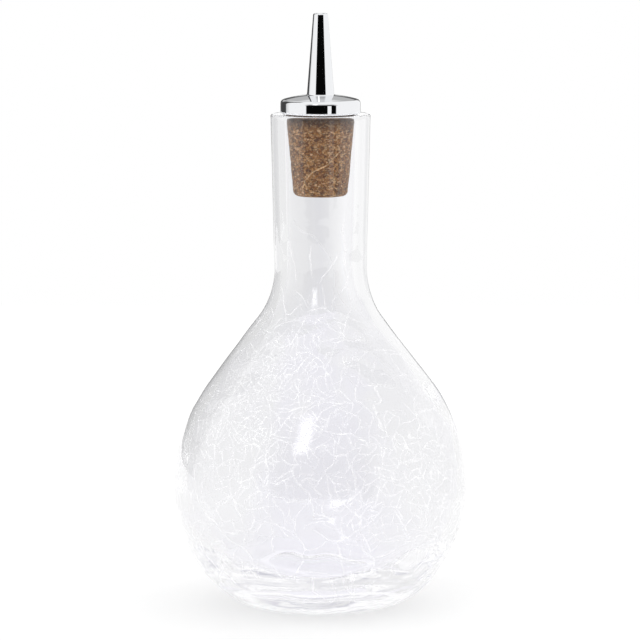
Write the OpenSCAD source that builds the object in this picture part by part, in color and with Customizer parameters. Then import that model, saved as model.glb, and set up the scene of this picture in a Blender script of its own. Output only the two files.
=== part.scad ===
// Bitters bottle: a blown round flask with a long neck, closed by a tapered cork that carries
// a domed metal cap and a slim dasher spout. Millimetres, +Z up, standing on its foot at z = 0.

/* [Flask outside] */
// Largest radius of the bulb
belly_r = 41.1; // [38:0.1:44]
// Height of the largest radius above the table
belly_z = 33.2; // [32:0.1:36]
// Radius of the bulb's upper curve
upper_curve_r = 48.6; // [46:0.1:50]
// Radius of the bulb's lower curve
lower_curve_r = 39.3; // [37:0.1:41]
// Radius of the heel, where the bulb turns into the foot
heel_r = 16.6; // [12:0.1:18]
// Slope of the straight shoulder, in degrees from upright
shoulder_angle = 37; // [34:0.5:40]
// Radius of the hollow curve from the shoulder into the neck
neck_curve_r = 23.3; // [18:0.1:28]
// Neck radius where it leaves the shoulder
neck_r = 12.85; // [12:0.05:13.5]
// Neck radius at the rim
rim_r = 13.85; // [13:0.05:14.5]
// Height of the rim above the table
rim_z = 137.7; // [132:0.1:142]
// Rounding of the fire-polished rim, outside
rim_round = 0.5; // [0.3:0.1:1.6]

/* [Flask inside] */
// Thickness of the bulb's wall at its widest
wall = 2.8; // [2:0.1:3.2]
// How much higher the inside is widest than the outside
inner_lift = 0.6; // [0:0.1:1]
// Thickness of the base in the middle
base_thick = 7.5; // [5:0.1:9]
// Radius of the inside heel, between the wall and the floor
inner_heel_r = 21; // [12:0.5:22]
// Radius of the bore in the lower neck
bore_r = 9.1; // [8.6:0.05:9.3]
// Radius of the bore at the mouth
mouth_r = 9.85; // [9.8:0.05:10.2]
// Height of the hollow pushed up under the foot
punt_h = 1.2; // [0.6:0.1:2]
// Width of the flat ring that the bottle stands on
foot_ring_w = 3; // [2:0.1:5]

/* [Cork] */
// Cork radius under the cap
cork_top_r = 9.58; // [9.3:0.01:9.6]
// Cork radius at its lower end
cork_low_r = 7.5; // [7.2:0.05:8]
// Length of cork below the cap
cork_len = 22.8; // [18:0.1:24]
// Rounding of the cork's lower edge
cork_round = 1.6; // [0.5:0.1:2]
// Air between the flask's rim and the cap
cap_gap = 0.3; // [0.3:0.1:2]

/* [Cap] */
// Radius of the cap
cap_r = 11.1; // [10.5:0.1:12]
// Height of the cap's upright edge
cap_side_h = 2.7; // [2.2:0.1:4]
// Rounding between the upright edge and the dome
cap_edge_r = 1.2; // [0.5:0.1:1.6]
// Radius of the cap's dome
dome_r = 38; // [28:1:44]
// Depth of the seat under the cap that the cork's head sits in
cork_seat = 0.4; // [0.3:0.1:1.2]

/* [Spout and tube] */
// Height of the spout above the cap's upright edge
spout_h = 24.9; // [20:0.1:28]
// Radius of the spout at its tip
tip_r = 2.05; // [1.9:0.05:2.4]
// Radius of the spout at its foot
foot_r = 3.75; // [3.4:0.05:4]
// Radius of the hole that the drops leave by
outlet_r = 1; // [0.8:0.05:1.2]
// Length of the narrow outlet hole
outlet_len = 8; // [6:0.5:10]
// Radius of the wider way up to the outlet, the bore of the tube
flow_r = 1.5; // [1.2:0.05:1.6]
// Outer radius of the tube through the cork
tube_r = 2; // [1.9:0.05:2.2]
// Radius of the spout's shank in the cap
shank_r = 3; // [2.8:0.05:3.2]
// Height of the tube's end above the cork's lower end
tube_inset = 0.4; // [0.1:0.1:2]
// Depth of the socket in the spout that holds the tube
tube_socket = 4; // [3:0.5:6]

/* [Hidden] */
$fn = 96;

// Steps in a quarter turn of a profile's curve, and of a rounding under 2 mm in radius
curve_steps = 24;
rounding_steps = 6;
// Rounding of the tip, of the foot fillet and of the small broken edges
tip_round = 0.45;
foot_fillet = 0.3;
broken_edge = 0.25;
// Rounding of the bore's edge at the mouth
mouth_round = 0.6;

cap_z = rim_z + cap_gap;
cap_shoulder_z = cap_z + cap_side_h;
spout_top_z = cap_shoulder_z + spout_h;
cork_low_z = cap_z - cork_len;
cork_head_z = cap_z + cork_seat;
tube_top_z = cap_z + tube_socket;

// Height of the dome's own centre, which makes it meet the edge rounding smoothly
dome_lean = asin((cap_r - cap_edge_r) / (dome_r - cap_edge_r));
dome_z = cap_shoulder_z - (dome_r - cap_edge_r) * cos(dome_lean);

// Points along an arc round a centre, from one angle to another
function arc(centre, r, from, to) =
    let (steps = max(2, ceil(abs(to - from) / 90 * (r < 2 ? rounding_steps : curve_steps))))
    [for (i = [0:steps]) let (a = from + (to - from) * i / steps)
        centre + r * [cos(a), sin(a)]];

// One skin of the flask, from the edge of its floor up to the foot of the neck: heel, lower bulb,
// upper bulb, straight shoulder and the hollow curve into the neck, each tangent to the next
function flask_skin(floor_z, heel, low_r, belly, belly_at, up_r, neck, curve_r) =
    let (low_c = [belly - low_r, belly_at],
         drop = belly_at - floor_z - heel,
         heel_c = [low_c.x + sqrt(pow(low_r - heel, 2) - pow(drop, 2)), floor_z + heel],
         turn = -atan2(drop, heel_c.x - low_c.x),
         up_c = [belly - up_r, belly_at],
         up_end = up_c + up_r * [cos(shoulder_angle), sin(shoulder_angle)],
         curve_x = neck + curve_r,
         run = (up_end.x - curve_x + curve_r * cos(shoulder_angle)) / tan(shoulder_angle),
         curve_c = [curve_x, up_end.y + run + curve_r * sin(shoulder_angle)])
    concat(arc(heel_c, heel, -90, turn),
           arc(low_c, low_r, turn, 0),
           arc(up_c, up_r, 0, shoulder_angle),
           arc(curve_c, curve_r, 180 + shoulder_angle, 180));

function reversed(points) = [for (i = [len(points) - 1:-1:0]) points[i]];

outer_skin = flask_skin(0, heel_r, lower_curve_r, belly_r, belly_z, upper_curve_r,
                        neck_r, neck_curve_r);
inner_skin = flask_skin(punt_h + base_thick, inner_heel_r, lower_curve_r - wall,
                        belly_r - wall, belly_z + inner_lift, upper_curve_r - wall,
                        bore_r, neck_curve_r + neck_r - bore_r);
standing_r = outer_skin[0].x;
// Sphere radius of the punt, from its height and its width inside the foot ring
punt_r = standing_r - foot_ring_w;
punt_curve = (pow(punt_r, 2) + pow(punt_h, 2)) / (2 * punt_h);
punt_lean = asin(punt_r / punt_curve);

module glass_bottle() {
    color([0.86, 0.9, 0.92, 0.35])
    rotate_extrude()
    polygon(concat(
        arc([0, punt_h - punt_curve], punt_curve, 90, 90 - punt_lean),
        outer_skin,
        arc([rim_r - rim_round, rim_z - rim_round], rim_round, 0, 90),
        arc([mouth_r + mouth_round, rim_z - mouth_round], mouth_round, 90, 180),
        reversed(inner_skin),
        [[0, punt_h + base_thick]]));
}

module cork_stopper() {
    lean = atan((cork_top_r - cork_low_r) / cork_len);
    // Centre of the lower edge's rounding, tangent to the end face and to the leaning side
    round_c = [cork_low_r + cork_round * (tan(lean) - 1 / cos(lean)), cork_low_z + cork_round];
    color([0.55, 0.42, 0.31])
    rotate_extrude()
    polygon(concat(
        [[tube_r, cork_low_z]],
        arc(round_c, cork_round, -90, -lean),
        [[cork_top_r, cap_z], [cork_top_r, cork_head_z], [tube_r, cork_head_z]]));
}

module dome_cap() {
    shoulder_c = [cap_r - cap_edge_r, cap_shoulder_z];
    dome_edge = asin(shank_r / dome_r);
    color([0.8, 0.81, 0.83])
    rotate_extrude()
    polygon(concat(
        [[shank_r, cork_head_z], [cork_top_r, cork_head_z], [cork_top_r, cap_z],
         [cap_r - broken_edge, cap_z], [cap_r, cap_z + broken_edge]],
        arc(shoulder_c, cap_edge_r, 0, 90 - dome_lean),
        arc([0, dome_z], dome_r, 90 - dome_lean, 90 - dome_edge)));
}

module spout() {
    seat_z = dome_z + sqrt(pow(dome_r, 2) - pow(foot_r + foot_fillet, 2));
    color([0.84, 0.85, 0.87])
    rotate_extrude()
    polygon(concat(
        [[tube_r, cork_head_z], [shank_r, cork_head_z]],
        // The underside of the foot follows the dome that it stands on
        arc([0, dome_z], dome_r, 90 - asin(shank_r / dome_r),
            90 - asin((foot_r + foot_fillet) / dome_r)),
        arc([foot_r + foot_fillet, seat_z + foot_fillet], foot_fillet, -90, -180),
        arc([tip_r - tip_round, spout_top_z - tip_round], tip_round, 0, 90),
        [[outlet_r, spout_top_z], [outlet_r, spout_top_z - outlet_len],
         [flow_r, spout_top_z - outlet_len - (flow_r - outlet_r)],
         [flow_r, tube_top_z], [tube_r, tube_top_z]]));
}

module stem_tube() {
    color([0.7, 0.71, 0.72])
    rotate_extrude()
    polygon([[flow_r, cork_low_z + tube_inset], [tube_r, cork_low_z + tube_inset],
             [tube_r, tube_top_z], [flow_r, tube_top_z]]);
}

glass_bottle();
cork_stopper();
dome_cap();
spout();
stem_tube();
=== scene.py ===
import math
import random

import bpy
import numpy as np
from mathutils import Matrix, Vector, noise


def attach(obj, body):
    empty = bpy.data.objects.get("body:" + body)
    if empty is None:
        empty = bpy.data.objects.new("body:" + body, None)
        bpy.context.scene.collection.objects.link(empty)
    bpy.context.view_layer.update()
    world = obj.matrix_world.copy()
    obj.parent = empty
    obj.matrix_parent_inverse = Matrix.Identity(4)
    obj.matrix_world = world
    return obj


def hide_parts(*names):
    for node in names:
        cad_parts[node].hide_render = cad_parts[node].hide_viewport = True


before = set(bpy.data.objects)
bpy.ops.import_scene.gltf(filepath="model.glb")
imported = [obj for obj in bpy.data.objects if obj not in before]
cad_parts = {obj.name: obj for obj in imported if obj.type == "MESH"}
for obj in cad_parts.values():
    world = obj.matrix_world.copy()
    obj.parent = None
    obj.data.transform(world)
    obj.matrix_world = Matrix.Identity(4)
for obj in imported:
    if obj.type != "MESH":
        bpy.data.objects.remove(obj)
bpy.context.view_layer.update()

mm = 0.001
print("frame loaded:", ", ".join(sorted(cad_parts)))


# Small helpers

def hexColour(code):
    # sRGB hex to the linear colour that the shaders work in
    parts = [int(code[i:i + 2], 16) / 255 for i in (0, 2, 4)]
    return [p / 12.92 if p <= 0.04045 else ((p + 0.055) / 1.055) ** 2.4 for p in parts] + [1.0]


def addNode(tree, kind, inputs=None, **settings):
    # one node with its settings; an input is a plain value or the socket that feeds it
    node = tree.nodes.new(kind)
    for name, value in settings.items():
        setattr(node, name, value)
    for name, value in (inputs or {}).items():
        if isinstance(value, bpy.types.NodeSocket):
            tree.links.new(value, node.inputs[name])
        else:
            node.inputs[name].default_value = value
    return node


def colourRamp(tree, share, stops):
    # colours over a share from 0 to 1; stops are pairs of a place and an sRGB hex
    node = addNode(tree, "ShaderNodeValToRGB", {"Fac": share})
    marks = node.color_ramp.elements
    for i, (place, code) in enumerate(stops):
        mark = marks[i] if i < 2 else marks.new(1.0)
        mark.position = place
        mark.color = hexColour(code)
    return node.outputs["Color"]


def emptyMaterial(name):
    material = bpy.data.materials.new(name)
    material.use_nodes = True
    material.node_tree.nodes.clear()
    return material, material.node_tree


def dress(piece, body, slot, material, *nodes):
    # puts a piece on its body with its finish, in place of the CAD nodes named
    piece.data.materials.clear()
    piece.data.materials.append(material)
    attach(piece, body)
    if nodes:
        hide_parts(*nodes)
    return piece


def arcPoints(cx, cz, r, start, end, step):
    # points along an arc in the profile plane, angles in degrees, lengths in mm
    count = max(4, math.ceil(abs(math.radians(end - start)) * r / step))
    angles = [math.radians(start + (end - start) * i / count) for i in range(count + 1)]
    return [(cx + r * math.cos(a), cz + r * math.sin(a)) for a in angles]


def evenly(points, step):
    # the same line cut into steps of about equal length, with its corners kept
    out = [points[0]]
    for a, b in zip(points[:-1], points[1:]):
        count = max(1, math.ceil(math.dist(a, b) / step))
        out += [(a[0] + (b[0] - a[0]) * i / count, a[1] + (b[1] - a[1]) * i / count)
                for i in range(1, count + 1)]
    return out


def meshObject(name, verts, faces, smooth=True):
    mesh = bpy.data.meshes.new(name)
    mesh.from_pydata([tuple(v) for v in verts], [], faces)
    mesh.validate()
    mesh.update()
    mesh.shade_smooth() if smooth else mesh.shade_flat()
    piece = bpy.data.objects.new(name, mesh)
    bpy.context.scene.collection.objects.link(piece)
    return piece


def lathe(name, profile, turns, shift=None, closed=False):
    # a turned piece from (r, z) points in mm; shift moves each ring's points out of round.
    # An open profile starts and ends on the axis; a closed one goes round a bore
    verts, faces, rings = [], [], []
    for i, (r, z) in enumerate(profile):
        if r < 1e-6:
            rings.append([len(verts)])
            verts.append((0, 0, z * mm))
            continue
        rings.append(range(len(verts), len(verts) + turns))
        for k in range(turns):
            a = 2 * math.pi * k / turns
            rr, zz = shift(i, r, z, a) if shift else (r, z)
            verts.append((rr * math.cos(a) * mm, rr * math.sin(a) * mm, zz * mm))
    pairs = list(zip(rings[:-1], rings[1:])) + ([(rings[-1], rings[0])] if closed else [])
    for low, high in pairs:
        for k in range(turns):
            n = (k + 1) % turns
            if len(low) == 1 and len(high) > 1:
                faces.append((low[0], high[n], high[k]))
            elif len(high) == 1 and len(low) > 1:
                faces.append((low[k], low[n], high[0]))
            elif len(low) > 1:
                faces.append((low[k], low[n], high[n], high[k]))
    return meshObject(name, verts, faces)


# Camera: a metre away and a little above the cap, where the photograph was taken from
camera = {
    "distance": 1.0,         # m from the bottle's axis, towards -Y
    "height": 0.2192,        # m above the table
    "aimHeight": 0.0800,     # m above the table, the point at the frame's centre
    "aside": -0.00014,       # m, because the axis stands at pixel 320.5 of 640
    "pixelsPerRadian": 3610, # the photograph's scale, which sets the lens
    "framePixels": 640,
    "sensor": 36.0,          # mm
}


def makeCamera():
    data = bpy.data.cameras.new("camera")
    data.sensor_width = camera["sensor"]
    data.lens = camera["sensor"] * camera["pixelsPerRadian"] / camera["framePixels"]
    data.clip_end = 20
    eye = bpy.data.objects.new("camera", data)
    bpy.context.scene.collection.objects.link(eye)
    eye.location = (camera["aside"], -camera["distance"], camera["height"])
    aim = Vector((camera["aside"], 0, camera["aimHeight"]))
    eye.rotation_euler = (aim - eye.location).to_track_quat("-Z", "Y").to_euler()
    bpy.context.scene.camera = eye
    print("camera: lens", round(data.lens, 1), "mm")


makeCamera()


# The studio, all of it in the world and the floor. Angles are in degrees: azimuth 0 is the
# camera's side and grows to the right, elevation is above the horizon
studio = {
    "white": 1.0,                       # the lit sweep all round, as metal and the camera see it
    # the same as the glass shows it: degrees to the right of straight behind, and colour
    "sweepSeenThrough": ((-60, "FFFFFF"), (-35, "F1F1F1"), (-8, "E9E9E9"), (0, "E8E8EA"), (6, "F2F2F2"),
                         (14, "FDFDFD"), (40, "FAFAFA"), (60, "FFFFFF")),
    "upperSeenThrough": "CCCCD5",       # and higher up all round, which the thick base gathers
    "upperFrom": 26, "upperTo": 56,
    "frontGrey": 0.002,                 # the dark room behind the camera, as metal mirrors it
    "frontGreySeenThrough": 0.80,       # the same as light that comes through the glass shows it
    "frontFrom": -42, "frontTo": 46,    # azimuth of the dark room's edges
    "frontTop": 32, "frontFade": 36,    # its upper edge, and how many degrees that fades over
    "panelGrey": 0.06,                  # a grey flag at the left, behind the bottle
    "panelGreySeenThrough": 0.85,
    "panelFrom": -150, "panelTo": -118, "panelTop": 60,
    "card": 1.0, "cardFrom": 20.5, "cardTo": 31.5, "cardTop": 1, "cardLow": -12,   # white card
    "lampSeenThrough": 15.0,
    "lamp": 3.0, "lampFrom": -19, "lampTo": -15, "lampLow": 33, "lampTop": 43,     # soft box
    "horizonDark": 0.10, "wallGrey": 0.5,       # far edge of the table, and the wall above it, in metal
    "floorSize": 0.62,                  # m, half the side of the sheet that the bottle stands on
    "floorColour": "B8B8B8",
    "floorLift": 0.65,                  # glow that brings the lit floor up to white
    # the same sheet as the glass shows it, with less of its shadow, and its glow, a painted pool of light that is
    # brightest at the bottle's axis: m from the bottle's axis, and colour
    "floorSeenThrough": "808080",
    "floorLiftSeenThrough": ((0.0, "F4F4F5"), (0.03, "F0F0F0"), (0.055, "E3E3E3"), (0.12, "E0E0E0"), (0.22, "DBDBDC")),
    "floorRight": 0.01,                # and how much brighter that is to the right
    "floorTint": "FAF9FF",              # its cast straight behind the bottle
}


def makeStudio():
    world = bpy.data.worlds.new("studio")
    bpy.context.scene.world = world
    world.use_nodes = True
    tree = world.node_tree
    tree.nodes.clear()
    way = addNode(tree, "ShaderNodeTexCoord").outputs["Generated"]
    axes = addNode(tree, "ShaderNodeSeparateXYZ", {"Vector": way})

    def sums(operation, *values):
        return addNode(tree, "ShaderNodeMath", dict(enumerate(values)), operation=operation).outputs[0]

    towards = sums("MULTIPLY", axes.outputs["Y"], -1.0)
    azimuth = sums("MULTIPLY", sums("ARCTAN2", axes.outputs["X"], towards), 180 / math.pi)
    elevation = sums("MULTIPLY", sums("ARCSINE", axes.outputs["Z"]), 180 / math.pi)

    def ramped(inside, soft):
        # 0 to 1 over an edge some degrees wide
        return addNode(tree, "ShaderNodeMath", {0: sums("DIVIDE", inside, soft), 1: 0.5}, operation="ADD",
                       use_clamp=True).outputs[0]

    def patch(left, right, low, top, soft=1.5):
        # 1 inside a window of directions and 0 outside
        edges = [sums("SUBTRACT", azimuth, float(left)), sums("SUBTRACT", float(right), azimuth),
                 sums("SUBTRACT", elevation, float(low)), sums("SUBTRACT", float(top), elevation)]
        return ramped(sums("MINIMUM", sums("MINIMUM", edges[0], edges[1]), sums("MINIMUM", edges[2], edges[3])), soft)

    def mixed(share, low, high):
        return addNode(tree, "ShaderNodeMix", {"Factor": share, "A": low, "B": high}).outputs["Result"]

    rays = addNode(tree, "ShaderNodeLightPath").outputs
    through = rays["Is Transmission Ray"]

    def tinted(share, low, high):
        return addNode(tree, "ShaderNodeMix", {"Factor": share, "A": low, "B": high}, data_type="RGBA").outputs["Result"]

    frontGrey = mixed(through, studio["frontGrey"], studio["frontGreySeenThrough"])
    panelGrey = mixed(through, studio["panelGrey"], studio["panelGreySeenThrough"])
    behind = sums("ABSOLUTE", azimuth)
    farSide = addNode(tree, "ShaderNodeMapRange", {"Value": behind, "From Min": 100.0, "From Max": 150.0}).outputs[0]
    aside = sums("MULTIPLY", sums("ARCTAN2", axes.outputs["X"], axes.outputs["Y"]), 180 / math.pi)
    sweep = colourRamp(tree, sums("DIVIDE", sums("ADD", aside, 90.0), 180.0),
                       [((off + 90) / 180, code) for off, code in studio["sweepSeenThrough"]])
    white = [studio["white"]] * 3 + [1]
    light = tinted(through, white, sweep)
    upper = sums("MULTIPLY", through, patch(-190, 190, studio["upperFrom"], studio["upperTo"], 12.0))
    light = tinted(upper, light, hexColour(studio["upperSeenThrough"]))
    mirrored = sums("MULTIPLY", sums("SUBTRACT", rays["Is Glossy Ray"], through), farSide)   # glass rays count as both
    mirrored = sums("MULTIPLY", mirrored, sums("SUBTRACT", 1.0, patch(90, 166, -91, 91, 8.0)))
    # straight behind and just over the horizon it stays light, because the flask's flat rim mirrors that place
    offRim = sums("ABSOLUTE", sums("SUBTRACT", elevation, 4.7))
    gap = ramped(sums("MINIMUM", sums("SUBTRACT", behind, 178.0), sums("SUBTRACT", 2.5, offRim)), 1.0)
    mirrored = sums("MULTIPLY", mirrored, sums("SUBTRACT", 1.0, gap))
    for low, top, soft, grey in ((10.0, 30.0, 7.0, studio["wallGrey"]), (-6.5, 13.0, 3.0, studio["horizonDark"])):
        light = tinted(sums("MULTIPLY", mirrored, patch(-190, 190, low, top, soft)), light, [grey] * 3 + [1])
    # the dark room's sides are sharp low down, where the metal shows them, and soft further up
    sides = addNode(tree, "ShaderNodeMapRange", {"Value": elevation, "From Min": 5.0, "From Max": 9.0, "To Min": 1.5,
                                                 "To Max": 16.0}).outputs[0]
    room = sums("MULTIPLY", patch(studio["frontFrom"], studio["frontTo"], -91, 91, sides),
                ramped(sums("SUBTRACT", studio["frontTop"] * 1.0, elevation), studio["frontFade"] * 1.0))
    for share, grey in (
            (room, frontGrey),
            (patch(studio["panelFrom"], studio["panelTo"], -91, studio["panelTop"], 4.0), panelGrey),
            (patch(studio["cardFrom"], studio["cardTo"], studio["cardLow"], studio["cardTop"], 0.8), studio["card"]),
            (patch(studio["lampFrom"], studio["lampTo"], studio["lampLow"], studio["lampTop"], 16.0),
             mixed(through, studio["lamp"], studio["lampSeenThrough"]))):
        if isinstance(grey, float):
            grey = [grey] * 3 + [1]
        light = tinted(share, light, grey)
    light = tinted(rays["Is Camera Ray"], light, white)
    glow = addNode(tree, "ShaderNodeBackground", {"Color": light})
    addNode(tree, "ShaderNodeOutputWorld", {"Surface": glow.outputs[0]})

    half = studio["floorSize"]
    floor = meshObject("floor", [(-half, -half, 0), (half, -half, 0), (half, half, 0), (-half, half, 0)],
                       [(0, 1, 2, 3)], smooth=False)
    material, tree = emptyMaterial("whitePaperSweep")
    rays = addNode(tree, "ShaderNodeLightPath").outputs
    seen = addNode(tree, "ShaderNodeMath", {0: rays["Is Camera Ray"], 1: rays["Is Glossy Ray"]}, operation="MAXIMUM")
    lift = addNode(tree, "ShaderNodeMath", {0: seen.outputs[0], 1: studio["floorLift"]}, operation="MULTIPLY")
    place = addNode(tree, "ShaderNodeTexCoord").outputs["Object"]
    away = addNode(tree, "ShaderNodeVectorMath", {0: place}, operation="LENGTH").outputs["Value"]
    aside = addNode(tree, "ShaderNodeSeparateXYZ", {"Vector": place}).outputs["X"]
    right = addNode(tree, "ShaderNodeMapRange", {"Value": aside, "From Min": 0.01, "From Max": 0.04,
                                                 "To Max": studio["floorRight"]}).outputs["Result"]
    # painted light: seen through the glass, the floor glows brightest at the bottle's axis and a little more to its
    # right
    through = addNode(tree, "ShaderNodeMath", {0: colourRamp(tree, away, studio["floorLiftSeenThrough"]), 1: right})
    lift = addNode(tree, "ShaderNodeMix", {"Factor": rays["Is Transmission Ray"], "A": lift.outputs[0],
                                           "B": through.outputs[0]})
    shade = addNode(tree, "ShaderNodeMix", {
        "Factor": rays["Is Transmission Ray"], "A": hexColour(studio["floorColour"]),
        "B": hexColour(studio["floorSeenThrough"])}, data_type="RGBA")
    paper = addNode(tree, "ShaderNodeBsdfDiffuse", {"Color": shade.outputs["Result"]})
    off = addNode(tree, "ShaderNodeMath", {0: aside}, operation="ABSOLUTE").outputs[0]
    cool = addNode(tree, "ShaderNodeMapRange", {"Value": off, "From Min": 0.01, "From Max": 0.035, "To Min": 1.0,
                                                "To Max": 0.0}).outputs["Result"]
    cool = addNode(tree, "ShaderNodeMath", {0: cool, 1: rays["Is Transmission Ray"]}, operation="MULTIPLY")
    tint = addNode(tree, "ShaderNodeMix", {"Factor": cool.outputs[0], "A": (1, 1, 1, 1),
                                           "B": hexColour(studio["floorTint"])}, data_type="RGBA").outputs["Result"]
    glow = addNode(tree, "ShaderNodeEmission", {"Color": tint, "Strength": lift.outputs[0]})
    both = addNode(tree, "ShaderNodeAddShader", {0: paper.outputs[0], 1: glow.outputs[0]})
    addNode(tree, "ShaderNodeOutputMaterial", {"Surface": both.outputs[0]})
    floor.data.materials.append(material)
    bpy.context.scene.view_settings.view_transform = "Standard"
    cycles = bpy.context.scene.cycles
    cycles.max_bounces = 40               # light that is caught in the wall and the base mirrors many times
    cycles.transmission_bounces = 40
    cycles.glossy_bounces = 40
    cycles.transparent_max_bounces = 96   # and it crosses many cracks on its way
    print("studio: world and floor")


makeStudio()


# The flask, in mm. The outside and the inside are each one line of tangent arcs
flask = {
    "bellyR": 41.1, "bellyZ": 33.2, "upperR": 48.6, "lowerR": 39.3, "heelR": 16.6,
    "shoulderAngle": 37, "neckCurveR": 23.3, "neckR": 12.85,
    "rimR": 13.85, "rimZ": 137.7, "rimRound": 0.5,
    "wall": 2.8, "innerLift": 0.6, "baseThick": 7.5, "innerHeelR": 21.0,
    "boreR": 9.1, "mouthR": 9.85, "mouthRound": 0.6,
    "puntH": 1.2, "footRing": 3.0,
    "step": 1.05,            # length of a mesh face up the profile
    "turns": 236,            # faces round it
    "outerWaves": ((15.0, 1.0, 0.16), (6.5, 1.0, 0.065), (18.0, 0.3, 0.05)),   # wavelength round it, the share of
    "innerWaves": ((17.0, 1.0, 0.16), (7.0, 1.0, 0.05), (18.0, 0.3, 0.07)),    # that upwards, and height
    "baseWaves": 2.4,        # times as high in the thick base
    "neckWaves": 0.55,       # share of the waves that is left in the neck
}


def flaskSkin(floorZ, heelR, lowerR, bellyR, bellyZ, upperR, neckR, neckCurveR):
    # heel, lower bulb, upper bulb, straight shoulder and the hollow curve into the neck
    lean = math.radians(flask["shoulderAngle"])
    lowX = bellyR - lowerR
    drop = bellyZ - floorZ - heelR
    heelX = lowX + math.sqrt((lowerR - heelR) ** 2 - drop ** 2)
    turn = -math.degrees(math.atan2(drop, heelX - lowX))
    endX = bellyR - upperR + upperR * math.cos(lean)
    endZ = bellyZ + upperR * math.sin(lean)
    curveX = neckR + neckCurveR
    run = (endX - curveX + neckCurveR * math.cos(lean)) / math.tan(lean)
    curveZ = endZ + run + neckCurveR * math.sin(lean)
    step = flask["step"]
    return (arcPoints(heelX, floorZ + heelR, heelR, -90, turn, step)
            + arcPoints(lowX, bellyZ, lowerR, turn, 0, step)[1:]
            + arcPoints(bellyR - upperR, bellyZ, upperR, 0, flask["shoulderAngle"], step)[1:]
            + arcPoints(curveX, curveZ, neckCurveR, 180 + flask["shoulderAngle"], 180, step))


def flaskProfile():
    # the whole cut of the glass, from the punt's middle round the outside to the floor's middle
    f = flask
    outer = flaskSkin(0, f["heelR"], f["lowerR"], f["bellyR"], f["bellyZ"], f["upperR"], f["neckR"], f["neckCurveR"])
    inner = flaskSkin(f["puntH"] + f["baseThick"], f["innerHeelR"], f["lowerR"] - f["wall"], f["bellyR"] - f["wall"],
                      f["bellyZ"] + f["innerLift"], f["upperR"] - f["wall"], f["boreR"],
                      f["neckCurveR"] + f["neckR"] - f["boreR"])
    puntR = outer[0][0] - f["footRing"]
    puntCurve = (puntR ** 2 + f["puntH"] ** 2) / (2 * f["puntH"])
    puntLean = math.degrees(math.asin(puntR / puntCurve))
    punt = arcPoints(0, f["puntH"] - puntCurve, puntCurve, 90, 90 - puntLean, f["step"])
    punt[0] = (0, f["puntH"])
    rim = (arcPoints(f["rimR"] - f["rimRound"], f["rimZ"] - f["rimRound"], f["rimRound"], 0, 90, 0.3)
           + arcPoints(f["mouthR"] + f["mouthRound"], f["rimZ"] - f["mouthRound"], f["mouthRound"], 90, 180, 0.3))
    outside = evenly(punt + outer + rim[:5], f["step"])
    inside = evenly(rim[-5:] + inner[::-1] + [(0, f["puntH"] + f["baseThick"])], f["step"])
    return outside + rim[5:-5] + inside, len(outside), len(rim) - 10


def waves(place, layers, seed):
    # gentle waves of blown glass, in mm, from seeded noise at the real wavelengths
    height = 0.0
    for i, (length, share, size) in enumerate(layers):
        at = Vector((place[0] / length, place[1] / length, place[2] / length / share))
        height += size * noise.noise(at + Vector((seed + 7.3 * i, seed, 3.1 * seed))) * 1.6
    return height


def fade(value, low, high):
    # 0 below low, 1 above high and smooth between
    t = min(1.0, max(0.0, (value - low) / (high - low)))
    return t * t * (3 - 2 * t)


def wavesAt(r, z, angle, inside):
    # how far the skin stands off its true profile here
    calm = 1 - (1 - flask["neckWaves"]) * fade(z, 70, 100)
    calm *= 1 + (flask["baseWaves"] - 1) * (1 - fade(z, 12, 30))
    calm *= 1 - fade(z, 104, 116)         # none where the cork sits and at the rim
    calm *= fade(z, 0.5, 9) if not inside else 1.0   # none on the foot ring
    if calm <= 0:
        return 0.0
    place = (r * math.cos(angle), r * math.sin(angle), z)
    return calm * waves(place, flask["innerWaves" if inside else "outerWaves"], 11.0 if inside else 4.0)


def makeGlass():
    profile, outsideCount, rimCount = flaskProfile()
    points = np.array(profile)
    along = np.gradient(points, axis=0)
    normals = np.stack([along[:, 1], -along[:, 0]], 1)
    normals /= np.maximum(np.linalg.norm(normals, axis=1), 1e-9)[:, None]

    def shift(i, r, z, angle):
        if outsideCount <= i < outsideCount + rimCount or r < 4:
            return r, z
        inside = i >= outsideCount
        off = wavesAt(r, z, angle, inside)
        return r + normals[i][0] * off, max(0.0, z + normals[i][1] * off)

    piece = lathe("glass_bottle_blown", profile, flask["turns"], shift)
    print("glass:", len(piece.data.polygons), "faces")
    return piece, points[:outsideCount], normals[:outsideCount]


glass, outerLine, outerNormals = makeGlass()


# The crackle: cracks that grow over the outer skin until they die out or meet another one.
# Each is a thin sliver that stands in the wall, at a slant that changes along it
crackle = {
    "seed": 11,
    "step": 0.5,             # mm of crack in one step
    "cell": 3.3,             # mm between cracks where the net is dense
    "tremble": 0.10,         # radians that a crack wavers in a step
    "straight": 2.1,         # mean length in mm between its kinks
    "turn": 0.62,            # spread, in radians, of its turn at a kink
    "longFirst": (70, 16.0), # how many cracks come first, and their mean length in mm
    "branch": 8.0,           # mean length in mm of a crack that leaves another one
    # cracks in the front of the neck, as mm to the right of the axis and mm above the table
    "neckCracks": (((-5.1, 118.0), (-4.2, 120.4), (-2.3, 122.6), (0.4, 124.0), (2.1, 124.9), (4.0, 126.8), (5.6, 128.7)),
                   ((-2.6, 102.5), (-2.9, 98.0), (-2.3, 93.6)),
                   ((5.1, 100.3), (3.7, 97.5), (1.8, 95.3), (-0.4, 91.9)),
                   ((-9.2, 104.7), (-8.3, 99.7), (-7.2, 96.9), (-7.0, 91.9)),
                   ((6.7, 109.1), (6.4, 105.2), (7.2, 101.4), (7.0, 96.4)),
                   ((-10.8, 111.9), (-10.3, 106.9), (-11.1, 102.5), (-10.0, 98.0))),
    "deep": (0.3, 0.7),      # mm that a crack reaches into the wall
    "wide": 0.05,            # share of cracks that slant into broad bright wings
    "wideDeep": (1.0, 1.7),
    "skin": 0.10,            # mm of sound glass over it
    "thick": 0.42,           # mm across in the middle
    "slant": 26,             # degrees off upright at most
    "ringEvery": 1.3,        # mm between the mesh's rings along a crack that runs straight
}


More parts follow.
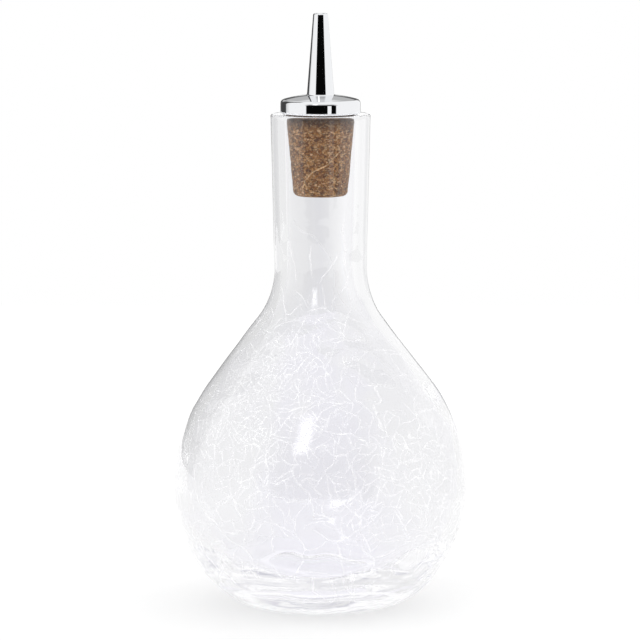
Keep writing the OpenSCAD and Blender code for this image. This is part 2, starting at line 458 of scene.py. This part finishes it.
def crackDensity(a, z):
    # how dense the net is, from 0 to 1, by place on the flask: a in radians, z in mm
    r = 40.0
    patchy = noise.noise(Vector((r * math.cos(a), r * math.sin(a), z)) / 24 + Vector((2, 7, 5)))
    dense = fade(z, 3, 24) * (1 - 0.93 * fade(z, 80, 92)) * (1 - 0.6 * fade(z, 108, 118)) * (1 - fade(z, 124, 130))
    fine = 2.4 * fade(math.cos(a - math.radians(-120)), 0.75, 0.95) * fade(z, 44, 56) * (1 - fade(z, 68, 80))
    fine += 1.2 * fade(math.cos(a - math.radians(-58)), 0.85, 0.97) * fade(z, 20, 30) * (1 - fade(z, 50, 60))
    calmSide = fade(math.cos(a - math.radians(-25)), 0.45, 0.9) * fade(z, 44, 56) * (1 - fade(z, 84, 96))
    return dense * (max(0.06, min(1.0, 0.62 + 1.7 * patchy)) * (1 - 0.85 * calmSide) + fine)


def growCracks():
    rng = random.Random(crackle["seed"])
    lengths = np.concatenate([[0], np.cumsum(np.linalg.norm(np.diff(outerLine, axis=0), axis=1))])
    low, high = np.interp([4, 128], outerLine[30:, 1], lengths[30:])
    cell = 1.5
    grid = {}

    def placeAt(a, s):
        r, z = (float(np.interp(s, lengths, outerLine[:, k])) for k in (0, 1))
        return r * math.cos(a), r * math.sin(a), z, r

    def near(place, reach, skip):
        # the nearest crack to a place, without those in skip
        best = reach
        span = math.ceil(reach / cell)
        base = [int(math.floor(c / cell)) for c in place[:3]]
        for i in range(-span, span + 1):
            for j in range(-span, span + 1):
                for k in range(-span, span + 1):
                    for other, at in grid.get((base[0] + i, base[1] + j, base[2] + k), ()):
                        if other not in skip:
                            best = min(best, math.dist(at, place[:3]))
        return best

    def run(a, s, heading, longest, index, parent):
        # one crack from its start, until it dies out or meets another
        line = [(a, s)]
        gone = 0.0
        while gone < longest:
            if rng.random() < crackle["step"] / crackle["straight"]:
                heading += rng.gauss(0, crackle["turn"]) * (1 - 0.75 * fade(placeAt(a, s)[2], 80, 90))
            heading += rng.gauss(0, crackle["tremble"])
            place = placeAt(a, s)
            a += crackle["step"] * math.cos(heading) / place[3]
            s += crackle["step"] * math.sin(heading)
            gone += crackle["step"]
            if not low < s < high:
                break
            line.append((a, s))
            place = placeAt(a, s)
            if crackDensity(a, place[2]) < 0.03:
                break
            if near(place, crackle["step"] * 0.9, {index, parent} if gone < 2 else {index}) < crackle["step"] * 0.9:
                line.append((a + crackle["step"] * math.cos(heading) / place[3], s + crackle["step"] * math.sin(heading)))
                break
        return line

    cracks = []

    def keep(line):
        index = len(cracks)
        for p in line:
            place = placeAt(*p)[:3]
            grid.setdefault(tuple(int(math.floor(c / cell)) for c in place), []).append((index, place))
        cracks.append(line)

    for corners in crackle["neckCracks"]:
        line = []
        for x, z in evenly(corners, crackle["step"]):
            s = float(np.interp(z, outerLine[30:, 1], lengths[30:]))
            r = float(np.interp(s, lengths, outerLine[:, 0]))
            waver = 0.3 * noise.noise(Vector((x / 1.5, z / 1.5, 4.0)))
            line.append((math.asin((x + waver) / r) - math.pi / 2, s))
        keep(line)
    count, mean = crackle["longFirst"]
    tries = 0
    while len(cracks) < count and tries < 4000:
        tries += 1
        a, s = rng.uniform(0, 2 * math.pi), rng.uniform(low, high)
        place = placeAt(a, s)
        if place[2] > 84 or rng.random() > crackDensity(a, place[2]) * place[3] / 41 or near(place, 5.0, ()) < 5.0:
            continue
        heading = rng.uniform(0, math.pi)
        longest = rng.expovariate(1 / mean) + 6
        one = run(a, s, heading, longest / 2, len(cracks), None)
        other = run(a, s, heading + math.pi, longest / 2, len(cracks), None)
        keep(other[::-1] + one[1:])
    index = 0
    while index < len(cracks):
        line = cracks[index]
        for _ in range(max(1, round(len(line) * crackle["step"] / 0.7))):
            if len(line) < 4:
                break
            i = rng.randrange(1, len(line) - 1)
            place = placeAt(*line[i])
            density = crackDensity(line[i][0], place[2])
            if place[2] > 92:
                continue
            side = rng.choice((-1, 1))
            along = math.atan2(line[i + 1][1] - line[i - 1][1], (line[i + 1][0] - line[i - 1][0]) * place[3])
            heading = along + side * math.radians(rng.gauss(80 - 55 * fade(place[2], 80, 90), 16))
            gap = crackle["cell"] / max(density, 0.12) ** 0.6
            ahead = placeAt(line[i][0] + gap * 0.6 * math.cos(heading) / place[3], line[i][1] + gap * 0.6 * math.sin(heading))
            if near(ahead, gap * 0.5, ()) < gap * 0.5:
                continue
            fresh = run(*line[i], heading, rng.expovariate(1 / crackle["branch"]) + gap * 0.8, len(cracks), index)
            if len(fresh) > 3:
                keep(fresh)
        index += 1
    return cracks, lengths, rng


def thinned(places):
    # leaves out the points of a crack where it runs straight
    kept = [places[0]]
    for before, here, after in zip(places[:-2], places[1:-1], places[2:]):
        turn = (here[0] - before[0]).angle(after[0] - here[0], 0)
        if turn > 0.15 or (here[0] - kept[-1][0]).length > crackle["ringEvery"]:
            kept.append(here)
    return kept + [places[-1]]


def makeCrackle():
    cracks, lengths, rng = growCracks()
    verts, faces = [], []
    total = 0.0
    for line in cracks:
        wide = rng.random() < crackle["wide"]
        reach = rng.uniform(*crackle["wideDeep" if wide else "deep"])
        slant = math.radians(rng.uniform(-crackle["slant"], crackle["slant"]) + (rng.choice((-25, 25)) if wide else 0))
        places = []
        for a, s in line:
            r, z = (float(np.interp(s, lengths, outerLine[:, k])) for k in (0, 1))
            n = [float(np.interp(s, lengths, outerNormals[:, k])) for k in (0, 1)]
            out = Vector((n[0] * math.cos(a), n[0] * math.sin(a), n[1]))
            places.append((Vector((r * math.cos(a), r * math.sin(a), z)) + out * wavesAt(r, z, a, False), out))
        places = thinned(places)
        rings = []
        for i, (place, out) in enumerate(places):
            before, after = places[max(i - 1, 0)][0], places[min(i + 1, len(places) - 1)][0]
            along = (after - before).normalized()
            across = along.cross(out).normalized()
            fromEnd = min((place - places[0][0]).length, (places[-1][0] - place).length)
            taper = 0.35 + 0.65 * fade(fromEnd, 0, 1.5)
            depth = reach * taper * (0.8 + 0.9 * noise.noise(place * 0.45))
            tilt = slant + 0.8 * noise.noise(place * 0.2 + Vector((5, 9, 1)))
            inwards = (-out * math.cos(tilt) + across * math.sin(tilt)).normalized()
            depth = min(depth, 1.9 / max(0.3, math.cos(tilt)))
            top = place - out * crackle["skin"]
            bottom = top + inwards * depth
            middle = top.lerp(bottom, 0.35)
            thin = inwards.cross(along).normalized() * crackle["thick"] / 2 * taper
            first = len(verts)
            verts += [p * mm for p in (top, middle + thin, bottom, middle - thin)]
            rings.append([first, first + 1, first + 2, first + 3])
            total += (after - before).length / 2
        for one, two in zip(rings[:-1], rings[1:]):
            for k in range(4):
                faces.append((one[k], one[(k + 1) % 4], two[(k + 1) % 4], two[k]))
        faces += [tuple(rings[0][::-1]), tuple(rings[-1])]
    piece = meshObject("crackle_net", verts, faces, smooth=False)
    print("crackle:", len(cracks), "cracks,", round(total), "mm in all,", len(faces), "faces")
    return piece


crackleNet = makeCrackle()


# Clear soda-lime glass, blown by hand: the eye sees bright and dark bands at its edges, a faint
# cool cast where it is thick, and lights that break up in the waves of the skin
def crackleGlass():
    material, tree = emptyMaterial("blownSodaLimeGlass")
    place = addNode(tree, "ShaderNodeTexCoord").outputs["Object"]
    dimples = addNode(tree, "ShaderNodeTexNoise", {"Vector": place, "Scale": 1 / (3.2 * mm), "Detail": 2.0})  # 3 mm
    drawn = addNode(tree, "ShaderNodeMapping", {"Vector": place, "Scale": (1, 1, 4)}).outputs[0]
    rings = addNode(tree, "ShaderNodeTexNoise", {"Vector": drawn, "Scale": 1 / (9.0 * mm), "Detail": 1.0})  # 2 mm high
    height = addNode(tree, "ShaderNodeMath", {0: dimples.outputs["Fac"], 1: rings.outputs["Fac"]}, operation="ADD")
    bump = addNode(tree, "ShaderNodeBump", {"Height": height.outputs[0], "Strength": 0.5, "Distance": 0.03 * mm})
    shader = addNode(tree, "ShaderNodeBsdfPrincipled", {
        "Base Color": hexColour("FCFCFD"), "Roughness": 0.0, "IOR": 1.52, "Transmission Weight": 1.0,
        "Normal": bump.outputs["Normal"]})
    addNode(tree, "ShaderNodeOutputMaterial", {"Surface": shader.outputs[0]})
    return material


# The faces of a crack hold a film of air, so the eye sees white threads that glint. That white and glint are painted,
# as a white veil that glows by itself
def crackFilm():
    material, tree = emptyMaterial("airFilmInCrack")
    place = addNode(tree, "ShaderNodeTexCoord").outputs["Object"]
    patches = addNode(tree, "ShaderNodeTexNoise", {"Vector": place, "Scale": 1 / (2.5 * mm), "Detail": 2.0})
    veil = addNode(tree, "ShaderNodeMapRange", {"Value": patches.outputs["Fac"], "From Min": 0.35, "From Max": 0.65,
                                                "To Min": 0.09, "To Max": 0.22})
    # painted reflection: next to the cork the film takes the cork's brown, as if it mirrored the cork
    height = addNode(tree, "ShaderNodeSeparateXYZ", {"Vector": place}).outputs["Z"]
    corkReflectionShare = addNode(tree, "ShaderNodeMapRange", {"Value": height, "From Min": 114 * mm, "From Max": 117 * mm})
    colour = addNode(tree, "ShaderNodeMix", {"Factor": corkReflectionShare.outputs["Result"], "A": hexColour("FFFFFF"),
                                             "B": hexColour("F0CFA4")}, data_type="RGBA").outputs["Result"]   # the cork's
    # painted light: the film glows, standing for the light that it mirrors and scatters from all round
    shader = addNode(tree, "ShaderNodeBsdfPrincipled", {
        "Base Color": colour, "Roughness": 0.35, "IOR": 1.45, "Alpha": veil.outputs["Result"],
        "Emission Color": colour, "Emission Strength": 0.58})
    addNode(tree, "ShaderNodeOutputMaterial", {"Surface": shader.outputs[0]})
    return material


dress(glass, "bottle", "crackle_glass", crackleGlass(), "glass_bottle")
dress(crackleNet, "bottle", "crackle_glass", crackFilm())


# The stopper's pieces, in mm
stopper = {
    "capZ": 138.0, "capR": 11.1, "capSide": 2.7, "capEdge": 1.2, "domeR": 38.0, "corkSeat": 0.4,
    "brokenEdge": 0.25,
    "corkTopR": 9.58, "corkLowR": 7.5, "corkLength": 22.8, "corkRound": 1.6,
    "spoutH": 24.9, "tipR": 2.05, "footR": 3.75, "tipRound": 0.45, "footFillet": 0.3,
    "outletR": 1.0, "outletLength": 8.0, "flowR": 1.5, "tubeR": 2.0, "shankR": 3.0, "tubeSocket": 4.0,
    "metalTurns": 160,
    "corkStep": 0.34, "corkTurns": 176,
    "corkPits": 0.10,        # mm, how deep the cork's pits are
}


def domeShape():
    # height of the dome's centre, and the angle at which it meets the edge rounding
    k = stopper
    lean = math.asin((k["capR"] - k["capEdge"]) / (k["domeR"] - k["capEdge"]))
    return k["capZ"] + k["capSide"] - (k["domeR"] - k["capEdge"]) * math.cos(lean), math.degrees(lean)


def makeCap():
    k = stopper
    domeZ, lean = domeShape()
    headZ = k["capZ"] + k["corkSeat"]
    edge = math.degrees(math.asin(k["shankR"] / k["domeR"]))
    profile = evenly([(k["shankR"], headZ), (k["corkTopR"], headZ), (k["corkTopR"], k["capZ"]),
                      (k["capR"] - k["brokenEdge"], k["capZ"]), (k["capR"], k["capZ"] + k["brokenEdge"])]
                     + arcPoints(k["capR"] - k["capEdge"], k["capZ"] + k["capSide"], k["capEdge"], 0, 90 - lean, 0.08)
                     + arcPoints(0, domeZ, k["domeR"], 90 - lean, 90 - edge, 0.3), 0.4)
    return lathe("dome_cap_chromed", profile, k["metalTurns"], closed=True)


def makeSpout():
    k = stopper
    domeZ, _ = domeShape()
    headZ = k["capZ"] + k["corkSeat"]
    topZ = k["capZ"] + k["capSide"] + k["spoutH"]
    footEdge = k["footR"] + k["footFillet"]
    seatZ = domeZ + math.sqrt(k["domeR"] ** 2 - footEdge ** 2)
    angle = lambda r: 90 - math.degrees(math.asin(r / k["domeR"]))
    socketZ = k["capZ"] + k["tubeSocket"]
    boreZ = topZ - k["outletLength"]
    profile = evenly([(k["tubeR"], headZ), (k["shankR"], headZ)]
                     + arcPoints(0, domeZ, k["domeR"], angle(k["shankR"]), angle(footEdge), 0.3)
                     + arcPoints(footEdge, seatZ + k["footFillet"], k["footFillet"], -90, -180, 0.08)
                     + arcPoints(k["tipR"] - k["tipRound"], topZ - k["tipRound"], k["tipRound"], 0, 90, 0.06)
                     + [(k["outletR"], topZ), (k["outletR"], boreZ), (k["flowR"], boreZ - k["flowR"] + k["outletR"]),
                        (k["flowR"], socketZ), (k["tubeR"], socketZ)], 0.5)
    return lathe("spout_chromed", profile, k["metalTurns"], closed=True)


def makeCork():
    k = stopper
    lowZ = k["capZ"] - k["corkLength"]
    headZ = k["capZ"] + k["corkSeat"]
    lean = math.atan((k["corkTopR"] - k["corkLowR"]) / k["corkLength"])
    roundX = k["corkLowR"] + k["corkRound"] * (math.tan(lean) - 1 / math.cos(lean))
    profile = evenly([(k["tubeR"], lowZ)]
                     + arcPoints(roundX, lowZ + k["corkRound"], k["corkRound"], -90, -math.degrees(lean), k["corkStep"])
                     + [(k["corkTopR"], k["capZ"]), (k["corkTopR"], headZ), (k["tubeR"], headZ)], k["corkStep"])

    def shift(i, r, z, angle):
        # pits and granules that lie a little under the cork's true surface, never over it
        if r < k["tubeR"] + 0.3 or z > k["capZ"] - 0.3:
            return r, z
        place = Vector((r * math.cos(angle), r * math.sin(angle), z))
        grain = abs(noise.noise(place / 0.9)) + 0.6 * abs(noise.noise(place / 0.45 + Vector((9, 2, 4))))
        pit = fade(noise.noise(place / 1.7 + Vector((3, 3, 8))), 0.28, 0.5)
        depth = k["corkPits"] * (0.6 * grain + 1.8 * pit)
        return (r - depth, z) if z > lowZ + k["corkRound"] else (r - depth * 0.5, z + depth * 0.5)

    return lathe("cork_stopper_grained", profile, k["corkTurns"], shift, closed=True)


# Chromed brass, polished: a cool mirror with the room's edges sharp in it
def chromedBrass():
    material, tree = emptyMaterial("chromedBrass")
    place = addNode(tree, "ShaderNodeTexCoord").outputs["Object"]
    wipes = addNode(tree, "ShaderNodeTexNoise", {"Vector": place, "Scale": 1 / (4.0 * mm), "Detail": 3.0})  # wiping marks
    dull = addNode(tree, "ShaderNodeMapRange", {"Value": wipes.outputs["Fac"], "To Min": 0.02, "To Max": 0.07})
    shader = addNode(tree, "ShaderNodeBsdfPrincipled", {
        "Base Color": hexColour("F1F2F4"), "Metallic": 1.0, "Roughness": dull.outputs["Result"]})
    addNode(tree, "ShaderNodeOutputMaterial", {"Surface": shader.outputs[0]})
    return material


# Agglomerated cork: granules of bark pressed with glue, so the eye sees crumbs in several browns,
# dark seams between them, pale streaks where a crumb was cut, and pits
def agglomeratedCork():
    material, tree = emptyMaterial("agglomeratedCork")
    place = addNode(tree, "ShaderNodeTexCoord").outputs["Object"]
    wobble = addNode(tree, "ShaderNodeTexNoise", {"Vector": place, "Scale": 1 / (0.9 * mm), "Detail": 4.0})
    shifted = addNode(tree, "ShaderNodeVectorMath", {0: wobble.outputs["Color"], "Scale": 0.8 * mm}, operation="SCALE")
    bent = addNode(tree, "ShaderNodeVectorMath", {0: place, 1: shifted.outputs[0]}, operation="ADD").outputs[0]
    flat = addNode(tree, "ShaderNodeMapping", {"Vector": bent, "Scale": (1, 1, 1.3)}).outputs[0]   # crumbs lie flat
    crumbs = addNode(tree, "ShaderNodeTexVoronoi", {"Vector": flat, "Scale": 1 / (0.65 * mm)})      # 0.65 mm granules
    seams = addNode(tree, "ShaderNodeTexVoronoi", {"Vector": flat, "Scale": 1 / (0.65 * mm)}, feature="DISTANCE_TO_EDGE")
    tone = addNode(tree, "ShaderNodeSeparateColor", {"Color": crumbs.outputs["Color"]}).outputs["Red"]
    browns = colourRamp(tree, tone, ((0.0, "663A12"), (0.25, "965C27"), (0.55, "BB7C3C"), (0.8, "D69E60"),
                                     (1.0, "F2C692")))
    fibres = addNode(tree, "ShaderNodeMapping", {"Vector": bent, "Scale": (1, 1, 2.2)}).outputs[0]
    streaks = addNode(tree, "ShaderNodeTexNoise", {"Vector": fibres, "Scale": 1 / (0.5 * mm), "Detail": 4.0})  # 0.5 mm
    pale = addNode(tree, "ShaderNodeMapRange", {"Value": streaks.outputs["Fac"], "From Min": 0.55, "From Max": 0.66,
                                                "To Max": 0.7})
    colour = addNode(tree, "ShaderNodeMix", {"Factor": pale.outputs["Result"], "A": browns,
                                             "B": hexColour("EBCB9C")}, data_type="RGBA").outputs["Result"]
    seam = addNode(tree, "ShaderNodeMapRange", {"Value": seams.outputs["Distance"], "From Max": 0.12, "To Min": 0.75,
                                                "To Max": 0.0})
    colour = addNode(tree, "ShaderNodeMix", {"Factor": seam.outputs["Result"], "A": colour,
                                             "B": hexColour("452A12")}, data_type="RGBA").outputs["Result"]
    # painted shade: the cork is darkened towards its top, where the cap and the rim shade it
    height = addNode(tree, "ShaderNodeSeparateXYZ", {"Vector": place}).outputs["Z"]
    capShade = addNode(tree, "ShaderNodeMapRange", {"Value": height, "From Min": (stopper["capZ"] - 4.6) * mm,
                                                 "From Max": (stopper["capZ"] - 1.4) * mm, "To Max": 0.85})
    colour = addNode(tree, "ShaderNodeMix", {"Factor": capShade.outputs["Result"], "A": colour,
                                             "B": hexColour("3A2516")}, data_type="RGBA").outputs["Result"]
    bump = addNode(tree, "ShaderNodeBump", {"Height": streaks.outputs["Fac"], "Strength": 0.6, "Distance": 0.15 * mm})
    shader = addNode(tree, "ShaderNodeBsdfPrincipled", {
        "Base Color": colour, "Roughness": 0.85, "Normal": bump.outputs["Normal"]})
    addNode(tree, "ShaderNodeOutputMaterial", {"Surface": shader.outputs[0]})
    return material


# Drawn stainless tube: fine lines along it, so its shine is soft
def drawnSteel():
    material, tree = emptyMaterial("drawnStainlessSteel")
    place = addNode(tree, "ShaderNodeTexCoord").outputs["Object"]
    stretched = addNode(tree, "ShaderNodeMapping", {"Vector": place, "Scale": (1, 1, 0.03)}).outputs[0]
    lines = addNode(tree, "ShaderNodeTexNoise", {"Vector": stretched, "Scale": 1 / (0.15 * mm), "Detail": 2.0})
    dull = addNode(tree, "ShaderNodeMapRange", {"Value": lines.outputs["Fac"], "To Min": 0.18, "To Max": 0.4})
    shader = addNode(tree, "ShaderNodeBsdfPrincipled", {
        "Base Color": hexColour("C4C3C0"), "Metallic": 1.0, "Roughness": dull.outputs["Result"]})
    addNode(tree, "ShaderNodeOutputMaterial", {"Surface": shader.outputs[0]})
    return material


chrome = chromedBrass()
dress(makeCap(), "stopper", "chromed_metal", chrome, "dome_cap")
dress(makeSpout(), "stopper", "chromed_metal", chrome, "spout")
dress(makeCork(), "stopper", "cork", agglomeratedCork(), "cork_stopper")
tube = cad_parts["stem_tube"]
tube.data.materials.clear()
tube.data.materials.append(drawnSteel())
print("stopper: cap, spout, cork and tube")
